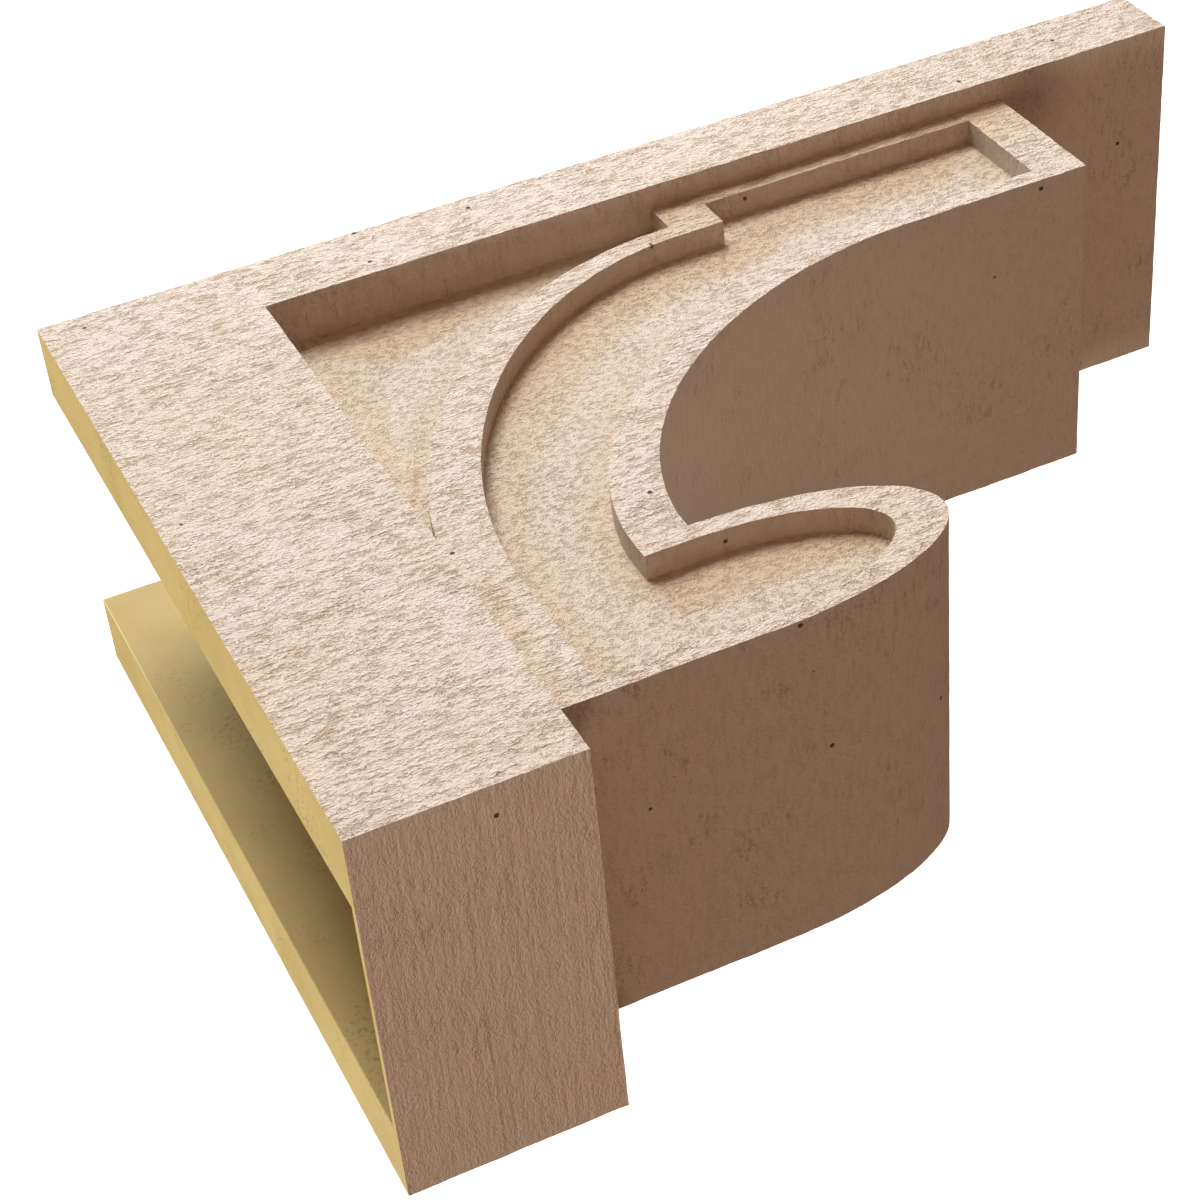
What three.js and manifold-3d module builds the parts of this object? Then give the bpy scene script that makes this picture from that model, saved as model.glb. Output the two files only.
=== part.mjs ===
// A moulded corbel: a wide top block, a long wall plate and a scrolled body in the corner between them.
// It is one hollow moulding, open along the top and along the wall, with panels sunk in both sides.
// The wall is the plane Y = 0, the corbel projects along -Y, and its top face is at Z = 0.
import * as THREE from "three";
import { mergeVertices } from "three/addons/utils/BufferGeometryUtils.js";
import Module from "manifold-3d";

// Driving dimensions, in millimetres
const WIDTH = 152.4; // across the wall, side to side
const PROJECTION = 304.8; // top block, out from the wall
const HEIGHT = 457.2; // wall plate, top to bottom
const TOP_BLOCK_HEIGHT = 76.2;
const WALL_PLATE_DEPTH = 30.48;

const BODY_INSET = 9.525; // each side of the body, in from the side of the top block
const FRONT_OVERHANG = 30.48; // top block, past the front of the scroll
const PLATE_TAIL = 76.2; // wall plate, below the foot of the body

const SCROLL_NECK = 76.2; // straight front of the scroll, below the top block
const SCROLL_DROP = 76.2; // rounded tip of the scroll, below its neck
const SCROLL_DEPTH = 60.96; // front of the scroll back to the cove
const FOOT_DEPTH = 60.96; // foot of the body, out from the wall plate
const FOOT_HEIGHT = 76.2; // straight front of the foot

const PANEL_DEPTH = 9.525; // panels, in from the side of the body
const RIM_HEIGHT = 19.05; // rims and rib where they run level
const RIM_THICKNESS = 7.62; // rims and rib where they run upright
const RIB_DROP = 152.4; // curved rib, top block down to its lower end
const RIB_STANDOFF = 22.86; // front of the rib's lower end, out from the wall plate

const SIDE_WALL = 28.575; // hollow, in from the side of the top block
const FRONT_WALL = 3.175; // hollow, in from every front and lower face

const COVE_ROUNDNESS = 1.9; // 2 is a true ellipse, less is flatter
const RIB_BACK_ROUNDNESS = 1.97;
const CURVE_STEPS = 24; // chords in a quarter turn
const PAST_FACE = 5; // a cut runs this far beyond the face that it opens

const MOULDING_COLOUR = 0xead8c6;
const MOULDING_ROUGHNESS = 0.85;

// Places worked out from them, out from the wall and up from the top face
const scrollFront = PROJECTION - FRONT_OVERHANG;
const scrollBack = scrollFront - SCROLL_DEPTH;
const scrollMiddle = scrollFront - SCROLL_DEPTH / 2;
const footFront = WALL_PLATE_DEPTH + FOOT_DEPTH;
const ribFoot = WALL_PLATE_DEPTH + RIB_STANDOFF;

const blockBottom = -TOP_BLOCK_HEIGHT;
const neckEnd = blockBottom - SCROLL_NECK;
const bodyBottom = PLATE_TAIL - HEIGHT;
const footTop = bodyBottom + FOOT_HEIGHT;
const ribEnd = blockBottom - RIB_DROP;

// Deep inside the top block and the wall plate, where the body's own edges are buried
const buriedOut = WALL_PLATE_DEPTH / 2;
const buriedUp = blockBottom / 2;

const wasm = await Module();
wasm.setup();

const point = (out, up) => new THREE.Vector2(out, up);

// A quarter of a rounded outline about a centre, from straight above or below it to straight behind it
function quarterTurn(centre, reach, rise, roundness) {
  const points = [];
  for (let step = 0; step <= CURVE_STEPS; step++) {
    const angle = (Math.PI / 2) * (step / CURVE_STEPS);
    const back = Math.cos(angle) ** (2 / roundness);
    const over = Math.sin(angle) ** (2 / roundness);
    points.push(point(centre.x - reach * over, centre.y + rise * back));
  }
  return points;
}

// The rounded tip of the scroll, from its front round to its back, inset by a wall or rim
function scrollTip(thickness, height) {
  const tip = new THREE.EllipseCurve(
    scrollMiddle, neckEnd, SCROLL_DEPTH / 2 - thickness, SCROLL_DROP - height, 0, -Math.PI, true,
  );
  return tip.getPoints(2 * CURVE_STEPS);
}

// The hollow under the scroll, from below the scroll back to the foot, moved into the body by a wall or rim
function cove(thickness, height) {
  const centre = point(scrollBack, footTop);
  const reach = scrollBack - footFront + thickness;
  return quarterTurn(centre, reach, neckEnd - footTop + height, COVE_ROUNDNESS);
}

// A side outline as a solid that runs across the corbel between two distances from its side
function acrossBody(outline, from, to) {
  const geometry = new THREE.ExtrudeGeometry(new THREE.Shape(outline), {
    depth: to - from,
    bevelEnabled: false,
  });
  geometry.translate(0, 0, from);
  geometry.deleteAttribute("normal");
  geometry.deleteAttribute("uv");
  const merged = mergeVertices(geometry);
  const mesh = new wasm.Mesh({
    numProp: 3,
    vertProperties: merged.attributes.position.array,
    triVerts: new Uint32Array(merged.index.array),
  });
  return new wasm.Manifold(mesh);
}

// Top block and wall plate, at full width
function topAndWallPlate() {
  const outline = [
    point(0, 0),
    point(0, -HEIGHT),
    point(WALL_PLATE_DEPTH, -HEIGHT),
    point(WALL_PLATE_DEPTH, blockBottom),
    point(PROJECTION, blockBottom),
    point(PROJECTION, 0),
  ];
  return acrossBody(outline, 0, WIDTH);
}

// Scrolled body, narrower than the block and plate that it grows from
function scrolledBody() {
  const outline = [
    point(buriedOut, buriedUp),
    point(buriedOut, bodyBottom),
    point(footFront, bodyBottom),
    ...cove(0, 0).reverse(),
    ...scrollTip(0, 0).reverse(),
    point(scrollFront, buriedUp),
  ];
  return acrossBody(outline, BODY_INSET, WIDTH - BODY_INSET);
}

// Long panel that follows the scroll, the cove and the foot inside an even rim
function scrollPanel() {
  const ribCentre = point(scrollBack, ribEnd);
  const ribFront = quarterTurn(ribCentre, scrollBack - ribFoot, RIB_DROP - RIM_HEIGHT, COVE_ROUNDNESS);
  const rimTop = blockBottom - RIM_HEIGHT;
  return [
    ...ribFront,
    point(ribFoot, ribEnd - RIM_HEIGHT),
    point(WALL_PLATE_DEPTH + RIM_THICKNESS, ribEnd - RIM_HEIGHT),
    point(WALL_PLATE_DEPTH + RIM_THICKNESS, bodyBottom + RIM_HEIGHT),
    point(footFront - RIM_THICKNESS, bodyBottom + RIM_HEIGHT),
    ...cove(RIM_THICKNESS, RIM_HEIGHT).reverse(),
    point(scrollBack + RIM_THICKNESS, neckEnd + RIM_HEIGHT),
    ...scrollTip(RIM_THICKNESS, RIM_HEIGHT).reverse(),
    point(scrollFront - RIM_THICKNESS, rimTop),
  ];
}

// Three-cornered panel between the top block, the wall plate and the back of the rib
function cornerPanel() {
  const ribCentre = point(scrollBack, ribEnd);
  const ribBack = scrollBack - ribFoot + RIM_THICKNESS;
  return [
    point(scrollBack, buriedUp),
    ...quarterTurn(ribCentre, ribBack, RIB_DROP, RIB_BACK_ROUNDNESS),
    point(buriedOut, ribEnd),
    point(buriedOut, buriedUp),
  ];
}

// Inside of the moulding, one wall in from the whole outline and open at the top and at the wall
function hollow() {
  const outline = [
    point(-PAST_FACE, PAST_FACE),
    point(-PAST_FACE, FRONT_WALL - HEIGHT),
    point(WALL_PLATE_DEPTH - FRONT_WALL, FRONT_WALL - HEIGHT),
    point(WALL_PLATE_DEPTH - FRONT_WALL, bodyBottom + FRONT_WALL),
    point(footFront - FRONT_WALL, bodyBottom + FRONT_WALL),
    ...cove(FRONT_WALL, FRONT_WALL).reverse(),
    point(scrollBack + FRONT_WALL, neckEnd + FRONT_WALL),
    ...scrollTip(FRONT_WALL, FRONT_WALL).reverse(),
    point(scrollFront - FRONT_WALL, blockBottom + FRONT_WALL),
    point(PROJECTION - FRONT_WALL, blockBottom + FRONT_WALL),
    point(PROJECTION - FRONT_WALL, PAST_FACE),
  ];
  return acrossBody(outline, SIDE_WALL, WIDTH - SIDE_WALL);
}

// The panels are cut into both sides before the block and plate close their upper and back edges
function mouldedShell() {
  const panelFloor = BODY_INSET + PANEL_DEPTH;
  let body = scrolledBody();
  for (const panel of [scrollPanel(), cornerPanel()]) {
    body = body
      .subtract(acrossBody(panel, 0, panelFloor))
      .subtract(acrossBody(panel, WIDTH - panelFloor, WIDTH));
  }
  return body.add(topAndWallPlate()).subtract(hollow());
}

// A solid's triangles as a three.js geometry with flat faces
function geometryOf(solid) {
  const { numProp, numVert, vertProperties, triVerts } = solid.getMesh();
  const corners = new Float32Array(numVert * 3);
  for (let vertex = 0; vertex < numVert; vertex++) {
    const start = vertex * numProp;
    corners.set(vertProperties.subarray(start, start + 3), vertex * 3);
  }
  const indexed = new THREE.BufferGeometry()
    .setAttribute("position", new THREE.BufferAttribute(corners, 3))
    .setIndex(new THREE.BufferAttribute(triVerts, 1));
  const geometry = indexed.toNonIndexed();
  geometry.computeVertexNormals();
  return geometry;
}

const corbel = new THREE.Mesh(
  geometryOf(mouldedShell()),
  new THREE.MeshStandardMaterial({
    color: MOULDING_COLOUR,
    roughness: MOULDING_ROUGHNESS,
    metalness: 0,
  }),
);
corbel.name = "corbel";

// Outlines are drawn out and up, so out turns to -Y, up to +Z and across to -X
const standing = new THREE.Matrix4().makeBasis(
  new THREE.Vector3(0, -1, 0),
  new THREE.Vector3(0, 0, 1),
  new THREE.Vector3(-1, 0, 0),
);
corbel.quaternion.setFromRotationMatrix(standing);
corbel.position.x = WIDTH / 2;

const part = new THREE.Group();
part.add(corbel);

export default part;
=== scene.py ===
import math

import bmesh
import bpy
import numpy as np
from mathutils import Matrix, Vector, kdtree
from mathutils.geometry import delaunay_2d_cdt


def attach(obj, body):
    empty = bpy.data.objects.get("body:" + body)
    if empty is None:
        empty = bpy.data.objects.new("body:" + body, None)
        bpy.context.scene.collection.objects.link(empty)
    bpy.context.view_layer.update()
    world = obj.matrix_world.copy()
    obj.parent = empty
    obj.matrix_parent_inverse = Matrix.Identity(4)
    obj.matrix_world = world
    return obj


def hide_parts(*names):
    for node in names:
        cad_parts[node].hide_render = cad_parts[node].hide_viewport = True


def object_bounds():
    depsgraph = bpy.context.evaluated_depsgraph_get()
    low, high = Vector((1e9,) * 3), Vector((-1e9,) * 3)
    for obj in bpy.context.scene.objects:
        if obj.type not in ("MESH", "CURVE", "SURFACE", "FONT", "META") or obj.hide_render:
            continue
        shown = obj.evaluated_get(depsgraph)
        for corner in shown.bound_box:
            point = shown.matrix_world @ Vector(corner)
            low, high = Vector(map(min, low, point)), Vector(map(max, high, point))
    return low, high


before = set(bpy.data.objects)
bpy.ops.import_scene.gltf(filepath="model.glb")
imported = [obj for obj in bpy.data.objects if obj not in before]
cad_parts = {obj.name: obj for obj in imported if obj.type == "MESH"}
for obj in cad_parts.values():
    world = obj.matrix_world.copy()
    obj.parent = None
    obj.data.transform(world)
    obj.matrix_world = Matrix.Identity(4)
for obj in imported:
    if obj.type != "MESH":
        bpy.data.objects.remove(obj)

cad_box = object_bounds()


# Camera at the photograph's angle: out in front and to the right of the corbel, a little above its top,
# and rolled on its side, so that the upright wall plate runs across the top of the picture.
CAMERA_PLACE = Vector((0.60032, -0.86104, 0.13646))
CAMERA_AIM = Vector((-0.62040, 0.72920, -0.28874))
CAMERA_UP = Vector((0.78021, 0.53632, -0.32192))
CAMERA_LENS = 83.47
CAMERA_SENSOR = 36

camera = bpy.data.objects.new("camera", bpy.data.cameras.new("camera"))
camera.data.lens = CAMERA_LENS
camera.data.sensor_width = CAMERA_SENSOR
back = -CAMERA_AIM.normalized()
right = CAMERA_UP.cross(back).normalized()
turned = Matrix((right, back.cross(right), back)).transposed()
camera.matrix_world = Matrix.Translation(CAMERA_PLACE) @ turned.to_4x4()
bpy.context.scene.collection.objects.link(camera)
bpy.context.scene.camera = camera


# The moulding: one shell of stiff foam, cast face down in a mould taken from rough sawn timber, so the
# skin carries the saw's grain, and the bare foam shows where the shell is open, on top and at the wall.
# Its surface is the solid's own flat faces, filled again with small even triangles and pressed in.
SKIN_STEP = 0.002
FOAM_STEP = 0.012
SIDE_WALL = 0.028575
FLAT_WITHIN = math.radians(0.5)
SHARP_OVER = math.radians(30)
CLEAR_OF_RIM = 0.6
SLIVER_AREA = 1e-9
LOWEST_WALL = 0.001
# How much painted shade the inner corners get, by the facing of their walls
FRONT_SHADE = 1.4
LEVEL_SHADE = 0.75
WALL_SHADIER = 1.25
ON_FACE = 1e-5
SAME_POINT = 1e-6


def flat_faces(node):
    """The node's triangles joined into its many-sided flat faces."""
    faces = bmesh.new()
    faces.from_mesh(node.data)
    bmesh.ops.remove_doubles(faces, verts=faces.verts, dist=SAME_POINT)
    bmesh.ops.dissolve_limit(faces, angle_limit=FLAT_WITHIN, verts=faces.verts, edges=faces.edges)
    faces.normal_update()
    faces.verts.index_update()
    faces.edges.index_update()
    return faces


def is_bare_foam(face):
    """Whether a flat face is an open edge of the shell, or lies inside its hollow."""
    corners = np.array([vertex.co for vertex in face.verts])
    half_hollow = cad_box[1].x - SIDE_WALL
    on_top = corners[:, 2].min() > cad_box[1].z - ON_FACE
    at_wall = corners[:, 1].min() > cad_box[1].y - ON_FACE
    inside = np.abs(corners[:, 0]).max() < half_hollow + ON_FACE
    return bool(on_top or at_wall or inside)


def within(rim, spots):
    """Which spots lie inside a flat outline."""
    following = np.roll(rim, -1, axis=0)
    x, y = spots[:, :1], spots[:, 1:]
    level = np.where(rim[:, 1] == following[:, 1], 1, following[:, 1] - rim[:, 1])
    crossing = rim[:, 0] + (y - rim[:, 1]) / level * (following[:, 0] - rim[:, 0])
    straddles = (rim[:, 1] > y) != (following[:, 1] > y)
    return np.count_nonzero(straddles & (x < crossing), axis=1) % 2 == 1


def lattice(rim, step):
    """Spots of an even three-cornered lattice inside a flat outline, clear of its rim."""
    rise = step * math.sqrt(3) / 2
    low, high = rim.min(axis=0), rim.max(axis=0)
    rows = np.arange(math.ceil(low[1] / rise), math.floor(high[1] / rise) + 1)
    columns = np.arange(math.floor(low[0] / step), math.ceil(high[0] / step) + 1)
    row, column = np.meshgrid(rows, columns)
    spots = np.stack([(column + 0.5 * (row % 2)) * step, row * rise], axis=-1).reshape(-1, 2)
    near_rim = kdtree.KDTree(len(rim))
    for index, (x, y) in enumerate(rim):
        near_rim.insert((x, y, 0), index)
    near_rim.balance()
    spots = spots[within(rim, spots)]
    gaps = np.array([near_rim.find((x, y, 0))[2] for x, y in spots])
    return spots[gaps > CLEAR_OF_RIM * step] if len(spots) else spots


def filled(rim, step):
    """A flat outline's inner spots, and the triangles between them and the rim."""
    spots = lattice(rim, step)
    corners = [Vector(spot) for spot in np.concatenate([rim, spots])]
    sides = [(index, (index + 1) % len(rim)) for index in range(len(rim))]
    result = delaunay_2d_cdt(corners, sides, [], 1, 1e-8, True)
    source = np.array([ids[0] for ids in result[3]])
    triangles = source[np.array(result[2])]
    flat = np.concatenate([rim, spots])[triangles]
    first, second = flat[:, 1] - flat[:, 0], flat[:, 2] - flat[:, 0]
    area = (first[:, 0] * second[:, 1] - first[:, 1] * second[:, 0]) / 2
    kept = (area > SLIVER_AREA) & within(rim, flat.mean(axis=1))
    return spots, triangles[kept]


def corner_shade(points, members, nooks, is_wall):
    """How much painted shade a face's points get, from none to 1, by how near they lie to its inner
    corners.
    """
    if not nooks:
        return dict.fromkeys(members, 0.0)
    corners = kdtree.KDTree(len(nooks))
    for index in nooks:
        corners.insert(points[index], index)
    corners.balance()
    painted_shade = {}
    for member in members:
        nearest, gap = corners.find(points[member])[1:]
        height, most, near, far = nooks[nearest]
        if is_wall:
            most, near = min(1, WALL_SHADIER * most), max(1, near)
        clean = min(1, max(0, (gap / height - near) / (far - near)))
        painted_shade[member] = most * (1 - clean * clean * (3 - 2 * clean))
    return painted_shade


def shaded_corner(edge):
    """An inner corner's wall height, its painted shade, and how many heights off that fades and ends."""
    start, end = (vertex.co for vertex in edge.verts)
    wall = min(edge.link_faces, key=lambda face: abs(face.normal.x))
    height = max(abs(vertex.co.x) for vertex in wall.verts) - abs(start.x)
    is_corner = edge.calc_face_angle_signed() < -SHARP_OVER and abs(start.x - end.x) < ON_FACE
    if not is_corner or height < LOWEST_WALL:
        return None
    # Painted shade: most by walls that face the front, away from the key light, less by level walls, and
    # spread as far out as a cast shadow
    front = min(1, max(0, -FRONT_SHADE * wall.normal.y))
    most = max(front, LEVEL_SHADE * abs(wall.normal.z))
    near = 0.3 + 1.0 * front
    far = 2.0 + 2.2 * front
    return height, most, near, far


def finely_filled(faces):
    """The flat faces as points and small triangles, with what each triangle and corner belongs to."""
    points = [vertex.co.copy() for vertex in faces.verts]
    bare = {face.index: is_bare_foam(face) for face in faces.faces}
    chains, sharp, nooks = {}, set(), {}
    for edge in faces.edges:
        start, end = edge.verts
        all_bare = all(bare[face.index] for face in edge.link_faces)
        parts = max(1, round(edge.calc_length() / (FOAM_STEP if all_bare else SKIN_STEP)))
        chain = [start.index]
        for part in range(1, parts):
            chain.append(len(points))
            points.append(start.co.lerp(end.co, part / parts))
        chain.append(end.index)
        chains[edge.index] = chain
        if edge.calc_face_angle() > SHARP_OVER:
            sharp.update(frozenset(pair) for pair in zip(chain, chain[1:]))
        shaded = shaded_corner(edge)
        if shaded:
            nooks.update(dict.fromkeys(chain, shaded))
    triangles, foam, normals, corner_shades = [], [], [], []
    for face in faces.faces:
        normal = face.normal.copy()
        along = Vector((0, 0, 1)) if abs(normal.x) > 0.5 else Vector((1, 0, 0))
        across = normal.cross(along)
        height = face.verts[0].co.dot(normal)
        members = []
        for loop in face.loops:
            chain = chains[loop.edge.index]
            members += chain[:-1] if chain[0] == loop.vert.index else chain[:0:-1]
        rim = np.array([(points[m].dot(along), points[m].dot(across)) for m in members])
        spots, corners = filled(rim, FOAM_STEP if bare[face.index] else SKIN_STEP)
        for x, y in spots:
            members.append(len(points))
            points.append(along * x + across * y + normal * height)
        own = {member: nooks[member] for member in members[:len(rim)] if member in nooks}
        painted_shade = corner_shade(points, members, own, abs(normal.x) < 0.5)
        corner_shades += [painted_shade[members[corner]] for corner in corners.ravel()]
        triangles += np.array(members)[corners].tolist()
        foam += [bare[face.index]] * len(corners)
        if not bare[face.index]:
            normals += [(member, *normal) for member in members]
    return points, triangles, foam, sharp, corner_shades, normals


def outward_leans(count, normals):
    """How far each point moves for one step out of its side face, and out of its front faces."""
    member = np.array([normal[0] for normal in normals], int)
    normal = np.array([normal[1:] for normal in normals])
    on_side = np.abs(normal[:, 0]) > 0.5
    side, front = np.zeros((count, 3)), np.zeros((count, 3))
    side[member[on_side], 0] = np.sign(normal[on_side, 0])
    spread, total = np.zeros((count, 2, 2)), np.zeros((count, 2))
    front_member, front_normal = member[~on_side], normal[~on_side, 1:]
    np.add.at(spread, front_member, front_normal[:, :, None] * front_normal[:, None, :])
    np.add.at(total, front_member, front_normal)
    unmixed = np.linalg.pinv(spread, rcond=0.05, hermitian=True)
    front[:, 1:] = (unmixed @ total[:, :, None])[:, :, 0]
    return side, front


def fine_mesh(node):
    """A closed fine mesh of a node that knows its sharp edges, bare foam and outward leans."""
    faces = flat_faces(node)
    points, triangles, foam, sharp, corner_shades, normals = finely_filled(faces)
    faces.free()
    mesh = bpy.data.meshes.new("corbel_moulding")
    mesh.from_pydata([tuple(point) for point in points], [], triangles)
    mesh.shade_smooth()
    bare = mesh.attributes.new("bare_foam", "BOOLEAN", "FACE")
    bare.data.foreach_set("value", foam)
    crisp = mesh.attributes.new("sharp_edge", "BOOLEAN", "EDGE")
    crisp.data.foreach_set("value", [frozenset(edge.vertices) in sharp for edge in mesh.edges])
    # The painted corner shade, kept on each triangle corner for the skin's colour
    painted_shade = mesh.attributes.new("corner_shade", "FLOAT", "CORNER")
    painted_shade.data.foreach_set("value", corner_shades)
    for name, lean in zip(("side_lean", "front_lean"), outward_leans(len(points), normals)):
        stored = mesh.attributes.new(name, "FLOAT_VECTOR", "POINT")
        stored.data.foreach_set("vector", lean.astype(np.float32).ravel())
    return mesh


def add(tree, kind, inputs=None, **settings):
    """A new node with its settings, and its inputs as values or as other nodes' outputs."""
    node = tree.nodes.new(kind)
    for name, value in settings.items():
        setattr(node, name, value)
    for key, value in (inputs or {}).items():
        if isinstance(value, bpy.types.NodeSocket):
            tree.links.new(value, node.inputs[key])
        else:
            node.inputs[key].default_value = value
    return node


def maths(tree, operation, *values):
    """The result of a sum on one, two or three numbers."""
    return add(tree, "ShaderNodeMath", dict(enumerate(values)), operation=operation).outputs[0]


def vector_maths(tree, operation, *values):
    """The result of a sum on vectors."""
    node = add(tree, "ShaderNodeVectorMath", dict(enumerate(values)), operation=operation)
    return node.outputs["Value" if operation in ("LENGTH", "DOT_PRODUCT") else "Vector"]


def ramp(tree, value, low, high, to_low=0.0, to_high=1.0, smooth=True):
    """A number brought from one range to another, and held inside it."""
    node = add(tree, "ShaderNodeMapRange", {0: value, 1: low, 2: high, 3: to_low, 4: to_high})
    node.interpolation_type = "SMOOTHSTEP" if smooth else "LINEAR"
    return node.outputs[0]


def noise(tree, place, scale, detail=2.0, roughness=0.5, distortion=0.0):
    """Cloudy noise between 0 and 1 over a place."""
    inputs = {
        "Vector": place, "Scale": scale,
        "Detail": detail, "Roughness": roughness, "Distortion": distortion,
    }
    return add(tree, "ShaderNodeTexNoise", inputs).outputs[0]


def mixed(tree, kind, factor, first, second):
    """A number, vector or colour between two others."""
    node = tree.nodes.new("ShaderNodeMix")
    node.data_type = kind
    sockets = {"FLOAT": (0, 2, 3, 0), "VECTOR": (0, 4, 5, 1), "RGBA": (0, 6, 7, 2)}[kind]
    for socket, value in zip(sockets, (factor, first, second)):
        if isinstance(value, bpy.types.NodeSocket):
            tree.links.new(value, node.inputs[socket])
        else:
            node.inputs[socket].default_value = value
    return node.outputs[sockets[3]]


def pressed_in():
    """A tree that presses the saw's waves into the skin, and dresses the skin and the bare foam."""
    tree = bpy.data.node_groups.new("sawn_relief", "GeometryNodeTree")
    sockets = tree.interface
    sockets.new_socket("Moulding", in_out="INPUT", socket_type="NodeSocketGeometry")
    for name in ("Side depth", "Front depth", "Wave length", "Wave width"):
        sockets.new_socket(name, in_out="INPUT", socket_type="NodeSocketFloat")
    for name in ("Skin", "Foam"):
        sockets.new_socket(name, in_out="INPUT", socket_type="NodeSocketMaterial")
    sockets.new_socket("Moulding", in_out="OUTPUT", socket_type="NodeSocketGeometry")
    given = tree.nodes.new("NodeGroupInput").outputs
    place = add(tree, "GeometryNodeInputPosition").outputs[0]
    axes = add(tree, "ShaderNodeSeparateXYZ", {0: place}).outputs
    width = given["Wave width"]
    size = add(tree, "ShaderNodeCombineXYZ", {0: given["Wave length"], 1: width, 2: width}).outputs[0]
    moved, depth_in = None, None
    leans = (("side_lean", "Side depth", "ZYX"), ("front_lean", "Front depth", "XYZ"))
    for lean_name, depth, order in leans:
        lean = add(
            tree, "GeometryNodeInputNamedAttribute", {0: lean_name}, data_type="FLOAT_VECTOR"
        ).outputs[0]
        turned_axes = {index: axes[axis] for index, axis in enumerate(order)}
        turned_place = add(tree, "ShaderNodeCombineXYZ", turned_axes).outputs[0]
        waves = noise(tree, vector_maths(tree, "DIVIDE", turned_place, size), 1.0, 3.0, 0.6, 0.5)
        lowness = ramp(tree, waves, 0.25, 0.75, 1.0, 0.0, False)
        inward = maths(tree, "MULTIPLY", maths(tree, "MULTIPLY", lowness, given[depth]), -1.0)
        offset = add(
            tree, "ShaderNodeVectorMath", {0: lean, "Scale": inward}, operation="SCALE"
        ).outputs[0]
        here = maths(tree, "MULTIPLY", lowness, vector_maths(tree, "LENGTH", lean))
        moved = vector_maths(tree, "ADD", moved, offset) if moved else offset
        depth_in = maths(tree, "ADD", depth_in, here) if depth_in else here
    pressed = add(
        tree, "GeometryNodeSetPosition", {"Geometry": given["Moulding"], "Offset": moved}
    ).outputs[0]
    marked = add(
        tree, "GeometryNodeStoreNamedAttribute",
        {"Geometry": pressed, "Name": "lowness", "Value": depth_in},
    ).outputs[0]
    real = add(tree, "GeometryNodeRealizeInstances", {0: marked}).outputs[0]
    bare = add(
        tree, "GeometryNodeInputNamedAttribute", {0: "bare_foam"}, data_type="BOOLEAN"
    ).outputs[0]
    skin = add(
        tree, "GeometryNodeSetMaterial", {"Geometry": real, "Material": given["Skin"]}
    ).outputs[0]
    dressed = add(
        tree, "GeometryNodeSetMaterial", {"Geometry": skin, "Selection": bare, "Material": given["Foam"]}
    ).outputs[0]
    add(tree, "NodeGroupOutput", {0: dressed})
    return tree


def grain_place(tree):
    """Object coordinates with the grain first: up the sides, and across every other face."""
    place = add(tree, "ShaderNodeTexCoord").outputs["Object"]
    axes = add(tree, "ShaderNodeSeparateXYZ", {0: place}).outputs
    faced = add(tree, "ShaderNodeSeparateXYZ", {0: add(tree, "ShaderNodeNewGeometry").outputs["Normal"]})
    is_side = maths(tree, "GREATER_THAN", maths(tree, "ABSOLUTE", faced.outputs["X"]), 0.7)
    up_side = add(tree, "ShaderNodeCombineXYZ", {0: axes["Z"], 1: axes["Y"], 2: axes["X"]}).outputs[0]
    return place, mixed(tree, "VECTOR", is_side, place, up_side), is_side, axes


SKIN_CREAM = (0.775, 0.678, 0.565, 1)
SKIN_PALE = (0.790, 0.708, 0.625, 1)
# Tan for the stains and the marks, and a darker crevice colour for the cracks; in the hollows both are
# partly the skin's own tan and partly painted shade
SKIN_TAN = (0.560, 0.400, 0.230, 1)
SKIN_CREVICE = (0.360, 0.190, 0.075, 1)
# Painted shade colours for the inner corners: yellow tan on the panel floors, reddish brown on the walls
FLOOR_SHADE = (0.600, 0.425, 0.195, 1)
WALL_SHADE = (0.340, 0.210, 0.135, 1)
PIT_SHADE = (0.150, 0.105, 0.070, 1)
END_DEPTH = 0.0015
PANEL_FLOOR = 0.0605
LEAST_ROUGH = 0.23
FLOOR_SMOOTHER = 0.28
SUNK_GRAIN = (2.2, 1.0, 1.0)
CRINKLE = (0.0026, 0.0032, 0.0032)
WAVE_SIZE = (0.0066, 0.0014, 0.0014)
CRUMB_SIZE = (0.0015, 0.0009, 0.0009)
STREAK_SIZE = (0.0600, 0.0028, 0.0028)
GROOVE_DROP = 0.034
GROOVE_SWAY = 0.003
PIT_RARITY = 0.55
FLOOR_TAN = 0.13
MARK_TAN = 0.47
END_MARK_PALER = 0.14
HOLE_TAN = 0.40
STAIN_TAN = 0.15
HOLLOW_TAN_AND_SHADE = 0.15
WALL_SHADE_SHARE = 0.48
BUMP_DEPTH = 0.0038


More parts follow.
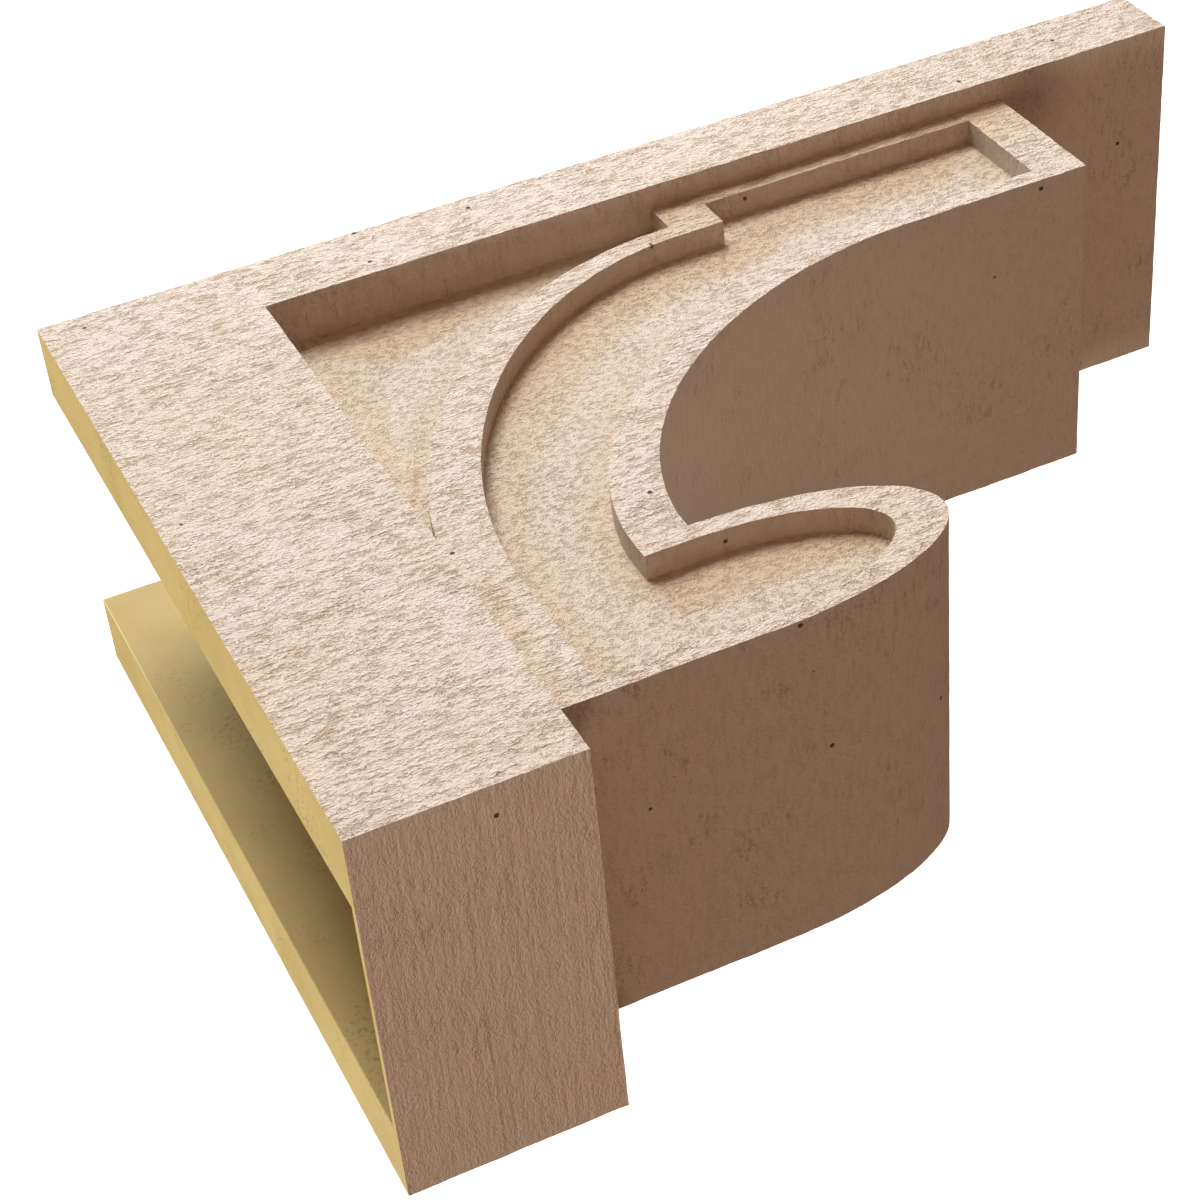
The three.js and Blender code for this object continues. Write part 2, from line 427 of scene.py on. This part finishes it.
def primed_skin():
    """Cream primer over a rough sawn skin, with tan and painted shade in its crevices and painted shade
    in its inner corners.
    """
    material = bpy.data.materials.new("primed_skin")
    material.use_nodes = True
    tree = material.node_tree
    shader = tree.nodes["Principled BSDF"]
    place, grain, is_side, axes = grain_place(tree)
    lowness = add(tree, "ShaderNodeAttribute", attribute_name="lowness").outputs["Fac"]
    in_corner = add(tree, "ShaderNodeAttribute", attribute_name="corner_shade").outputs["Fac"]

    # How rough each face is: the sides most, the sunk panels' floors less, and every other face least
    is_sunk = maths(tree, "LESS_THAN", maths(tree, "ABSOLUTE", axes["X"]), PANEL_FLOOR)
    is_floor = maths(tree, "MULTIPLY", is_sunk, is_side)
    patches = noise(tree, place, 40.0, 3.0, 0.6, 0.3)
    clouds = noise(tree, place, 14.0, 3.0, 0.6)
    # The marks also grow stronger in the painted corner shade
    least_rough = maths(tree, "MAXIMUM", maths(tree, "MULTIPLY", in_corner, 0.5), LEAST_ROUGH)
    side_rough = maths(tree, "MULTIPLY_ADD", is_floor, -FLOOR_SMOOTHER, is_side)
    rough = maths(tree, "MAXIMUM", side_rough, least_rough)

    # The saw's marks: long valleys with crinkled edges, crumbs between them, and long faint streaks
    along = mixed(tree, "VECTOR", is_floor, (1.0, 1.0, 1.0), SUNK_GRAIN)
    grain = vector_maths(tree, "MULTIPLY", grain, along)
    crinkle = add(
        tree, "ShaderNodeTexNoise", {"Vector": grain, "Scale": 700.0, "Detail": 2.0}
    ).outputs["Color"]
    bent = vector_maths(tree, "MULTIPLY_ADD", crinkle, CRINKLE, grain)
    wave = noise(tree, vector_maths(tree, "DIVIDE", bent, WAVE_SIZE), 1.0, 2.0, 0.5)
    crumb = noise(tree, vector_maths(tree, "DIVIDE", grain, CRUMB_SIZE), 1.0, 3.0, 0.6)
    streak = noise(tree, vector_maths(tree, "DIVIDE", grain, STREAK_SIZE), 1.0, 3.0, 0.6, 0.1)
    is_marked = maths(tree, "MULTIPLY", ramp(tree, patches, 0.38, 0.62, 0.72, 1.0), rough)
    valley = maths(tree, "MULTIPLY", ramp(tree, wave, 0.50, 0.38), is_marked)

    # Cracks along the deepest waves, on the sides and in patches on the fronts, fewer at the cut ends
    on_end = maths(tree, "LESS_THAN", axes["Y"], cad_box[0].y + END_DEPTH)
    on_foot = maths(tree, "LESS_THAN", axes["Z"], cad_box[0].z + END_DEPTH)
    upper = ramp(tree, axes["Z"], -0.050, -0.030, 0.10, 0.16)
    is_cut = maths(tree, "MULTIPLY", maths(tree, "MAXIMUM", on_end, on_foot), upper)
    is_front = maths(tree, "SUBTRACT", 1.0, maths(tree, "MAXIMUM", is_side, is_cut))
    front_marked = maths(tree, "MULTIPLY", ramp(tree, patches, 0.54, 0.62, 0.0, 0.6), is_front)
    is_cracked = maths(tree, "MAXIMUM", is_marked, front_marked)
    crack = maths(tree, "MULTIPLY", ramp(tree, wave, 0.41, 0.30), is_cracked)
    hole = maths(tree, "MULTIPLY", ramp(tree, crumb, 0.48, 0.30), rough)

    # One faint broken groove straight across the top block's front end
    below_groove = maths(tree, "MULTIPLY_ADD", wave, GROOVE_SWAY, GROOVE_DROP - GROOVE_SWAY / 2)
    groove_gap = maths(tree, "ABSOLUTE", maths(tree, "ADD", axes["Z"], below_groove))
    is_broken = ramp(tree, patches, 0.44, 0.56)
    groove = maths(tree, "MULTIPLY", ramp(tree, groove_gap, 0.0002, 0.0010, 1.0, 0.0), is_broken)
    groove = maths(tree, "MULTIPLY", groove, on_end)

    # A few round pits where a bubble reached the skin, painted dark as the shade inside them
    cells = add(tree, "ShaderNodeTexVoronoi", {"Vector": place, "Scale": 60.0})
    draw = add(tree, "ShaderNodeSeparateColor", {0: cells.outputs["Color"]}).outputs[0]
    rare = maths(tree, "GREATER_THAN", draw, PIT_RARITY)
    pit = maths(tree, "MULTIPLY", ramp(tree, cells.outputs["Distance"], 0.028, 0.060, 1.0, 0.0), rare)

    # The colour: cream, then tan stains, painted shade in the inner corners, the marks with tan and
    # painted shade in their hollows, and the pits painted dark as their shade last
    hue = mixed(tree, "FLOAT", rough, 0.5, ramp(tree, clouds, 0.35, 0.65))
    body = mixed(tree, "RGBA", hue, SKIN_CREAM, SKIN_PALE)
    stain = maths(tree, "MULTIPLY", ramp(tree, patches, 0.45, 0.80), rough)
    stain = maths(tree, "MULTIPLY", stain, STAIN_TAN)
    body = mixed(tree, "RGBA", maths(tree, "MULTIPLY_ADD", is_floor, FLOOR_TAN, stain), body, SKIN_TAN)
    # Painted shade in the inner corners: reddish brown up the walls, yellow tan out over the panel
    # floors
    uneven = ramp(tree, clouds, 0.30, 0.70, 0.38, 0.48)
    share = mixed(tree, "FLOAT", is_side, WALL_SHADE_SHARE, uneven)
    shaded = maths(tree, "MULTIPLY", in_corner, share)
    body = mixed(tree, "RGBA", shaded, body, mixed(tree, "RGBA", is_side, WALL_SHADE, FLOOR_SHADE))
    # The hollows of the crumbs, valleys, cracks and groove: partly the skin's own tan, partly painted
    # shade, the cracks and groove darkest
    body = mixed(tree, "RGBA", maths(tree, "MULTIPLY", hole, HOLE_TAN), body, SKIN_TAN)
    deeper = maths(tree, "MULTIPLY_ADD", on_end, -END_MARK_PALER, MARK_TAN)
    body = mixed(tree, "RGBA", maths(tree, "MULTIPLY", valley, deeper), body, SKIN_TAN)
    body = mixed(tree, "RGBA", maths(tree, "MULTIPLY", crack, deeper), body, SKIN_CREVICE)
    body = mixed(tree, "RGBA", maths(tree, "MULTIPLY", groove, 0.20), body, SKIN_CREVICE)
    # Tan in the hollows pressed into the mesh: partly the skin's own tan, partly painted shade
    hollow_tan_and_shade = maths(tree, "MULTIPLY", maths(tree, "MULTIPLY", lowness, rough), HOLLOW_TAN_AND_SHADE)
    body = mixed(tree, "RGBA", hollow_tan_and_shade, body, SKIN_TAN)
    body = mixed(tree, "RGBA", pit, body, PIT_SHADE)
    tree.links.new(body, shader.inputs["Base Color"])

    # The finest relief: crumbs up, valleys, cracks, grooves and pits down, streaks over all
    height = maths(tree, "MULTIPLY", maths(tree, "MULTIPLY", crumb, rough), 0.50)
    height = maths(tree, "MULTIPLY_ADD", valley, -0.13, height)
    height = maths(tree, "MULTIPLY_ADD", crack, -0.07, height)
    height = maths(tree, "MULTIPLY_ADD", streak, 0.10, height)
    height = maths(tree, "MULTIPLY_ADD", groove, -0.03, height)
    height = maths(tree, "MULTIPLY_ADD", pit, -0.6, height)
    bump = add(tree, "ShaderNodeBump", {"Height": height, "Distance": BUMP_DEPTH, "Strength": 1.0})
    tree.links.new(bump.outputs[0], shader.inputs["Normal"])
    shader.inputs["Roughness"].default_value = 0.82
    shader.inputs["Specular IOR Level"].default_value = 0.3
    return material


FOAM_PALE = (0.675, 0.584, 0.248, 1)
FOAM_DEEP = (0.610, 0.517, 0.202, 1)
FOAM_SPECK = (0.190, 0.140, 0.045, 1)
FOAM_SHADE = (0.270, 0.170, 0.070, 1)
SPECK_STRENGTH = 0.50
SHADE_INSIDE = 0.60


def bare_foam():
    """Smooth straw-coloured foam with olive-brown specks where bubbles broke open."""
    material = bpy.data.materials.new("bare_foam")
    material.use_nodes = True
    tree = material.node_tree
    shader = tree.nodes["Principled BSDF"]
    place = add(tree, "ShaderNodeTexCoord").outputs["Object"]
    clouds = noise(tree, place, 20.0, 3.0, 0.6)
    specks = noise(tree, place, 520.0, 3.0, 0.6)
    smudged = ramp(tree, noise(tree, place, 32.0, 2.0, 0.5), 0.48, 0.66, 0.10, 1.0)
    speck = maths(tree, "MULTIPLY", ramp(tree, specks, 0.52, 0.64), smudged)
    axes = add(tree, "ShaderNodeSeparateXYZ", {0: place}).outputs
    open_side = maths(tree, "MAXIMUM", axes["Y"], axes["Z"])
    just_in = ramp(tree, open_side, -0.0001, -0.0006, 0.0, SHADE_INSIDE)
    depth_in = maths(tree, "ADD", just_in, ramp(tree, open_side, -0.003, -0.040, 0.0, -0.05))
    body = mixed(tree, "RGBA", ramp(tree, clouds, 0.35, 0.65), FOAM_DEEP, FOAM_PALE)
    body = mixed(tree, "RGBA", depth_in, body, FOAM_SHADE)
    body = mixed(tree, "RGBA", maths(tree, "MULTIPLY", speck, SPECK_STRENGTH), body, FOAM_SPECK)
    tree.links.new(body, shader.inputs["Base Color"])
    height = noise(tree, place, 1500.0, 2.0, 0.6)
    bump = add(tree, "ShaderNodeBump", {"Height": height, "Distance": 0.0002, "Strength": 0.6})
    tree.links.new(bump.outputs[0], shader.inputs["Normal"])
    shader.inputs["Roughness"].default_value = 0.75
    shader.inputs["Specular IOR Level"].default_value = 0.3
    return material


moulding = bpy.data.objects.new("corbel_moulding", fine_mesh(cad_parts["corbel"]))
bpy.context.scene.collection.objects.link(moulding)
relief = moulding.modifiers.new("sawn_relief", "NODES")
relief.node_group = pressed_in()
relief_values = {
    "Side depth": 0.0006, "Front depth": 0.0002, "Wave length": 0.012, "Wave width": 0.005,
    "Skin": primed_skin(), "Foam": bare_foam(),
}
for item in relief.node_group.interface.items_tree:
    if item.name in relief_values:
        relief[item.identifier] = relief_values[item.name]
finished = bpy.data.meshes.new_from_object(
    moulding.evaluated_get(bpy.context.evaluated_depsgraph_get())
)
moulding.modifiers.remove(relief)
moulding.data = finished
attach(moulding, "root")
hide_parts("corbel")


# The studio: a wide pale floor two metres below the shelf line where the corbel hangs, with soft lamps
# round it. Neither is part of the corbel.
FLOOR_DROP = 2.1
FLOOR_HALF = 300

bpy.ops.mesh.primitive_plane_add(size=2 * FLOOR_HALF, location=(0, 0, -FLOOR_DROP))
floor = bpy.context.object
floor.name = "studio_floor"
floor_material = bpy.data.materials.new("pale_floor")
floor_material.use_nodes = True
floor_shader = floor_material.node_tree.nodes["Principled BSDF"]
floor_shader.inputs["Base Color"].default_value = (0.9, 0.9, 0.9, 1)
floor_shader.inputs["Emission Color"].default_value = (1, 1, 1, 1)
floor_shader.inputs["Emission Strength"].default_value = 0.9
floor.data.materials.append(floor_material)
floor.visible_diffuse = False
floor.visible_glossy = False
floor.visible_shadow = False


def sun(name, strength, colour, direction, softness):
    """A lamp as far off as the sun, shining along a direction."""
    lamp = bpy.data.objects.new(name, bpy.data.lights.new(name, "SUN"))
    lamp.data.energy = strength
    lamp.data.color = colour
    lamp.data.angle = math.radians(softness)
    lamp.rotation_mode = "QUATERNION"
    lamp.rotation_quaternion = Vector(direction).to_track_quat("-Z", "Y")
    bpy.context.scene.collection.objects.link(lamp)


sun("key", 3.55, (1.0, 0.99, 0.98), (-1.0, -0.53, -0.04), 30)
sun("over_front", 1.60, (1.0, 0.83, 0.67), (0.0, 0.25, -1.0), 5)
sun("fill", 0.47, (1.0, 0.575, 0.375), (-0.68, 0.69, 0.05), 60)
sun("far_side", 3.0, (1.0, 0.94, 0.87), (1.0, -0.30, -0.20), 20)

# A wide cool panel out past the wall, low over the right side, which shades the sunk panels' edges
PANEL_PLACE = Vector((0.416, 0.400, -0.220))
PANEL_AIM = Vector((0.070, -0.120, -0.180))

low_panel = bpy.data.objects.new("low_panel", bpy.data.lights.new("low_panel", "AREA"))
low_panel.data.energy = 2.7
low_panel.data.color = (0.74, 0.85, 1.0)
low_panel.data.size = 0.4
low_panel.location = PANEL_PLACE
low_panel.rotation_mode = "QUATERNION"
low_panel.rotation_quaternion = (PANEL_AIM - PANEL_PLACE).to_track_quat("-Z", "Y")
bpy.context.scene.collection.objects.link(low_panel)

world = bpy.data.worlds.new("studio")
world.use_nodes = True
bpy.context.scene.world = world
dim = world.node_tree.nodes["Background"]
dim.inputs["Color"].default_value = (1.0, 0.69, 0.52, 1)
dim.inputs["Strength"].default_value = 0.18
bright = add(world.node_tree, "ShaderNodeBackground", {"Color": (1, 1, 1, 1)})
ray = add(world.node_tree, "ShaderNodeLightPath")
shown = add(
    world.node_tree, "ShaderNodeMixShader",
    {0: ray.outputs["Is Camera Ray"], 1: dim.outputs[0], 2: bright.outputs[0]},
)
world.node_tree.links.new(shown.outputs[0], world.node_tree.nodes["World Output"].inputs["Surface"])

bpy.context.scene.view_settings.view_transform = "Standard"
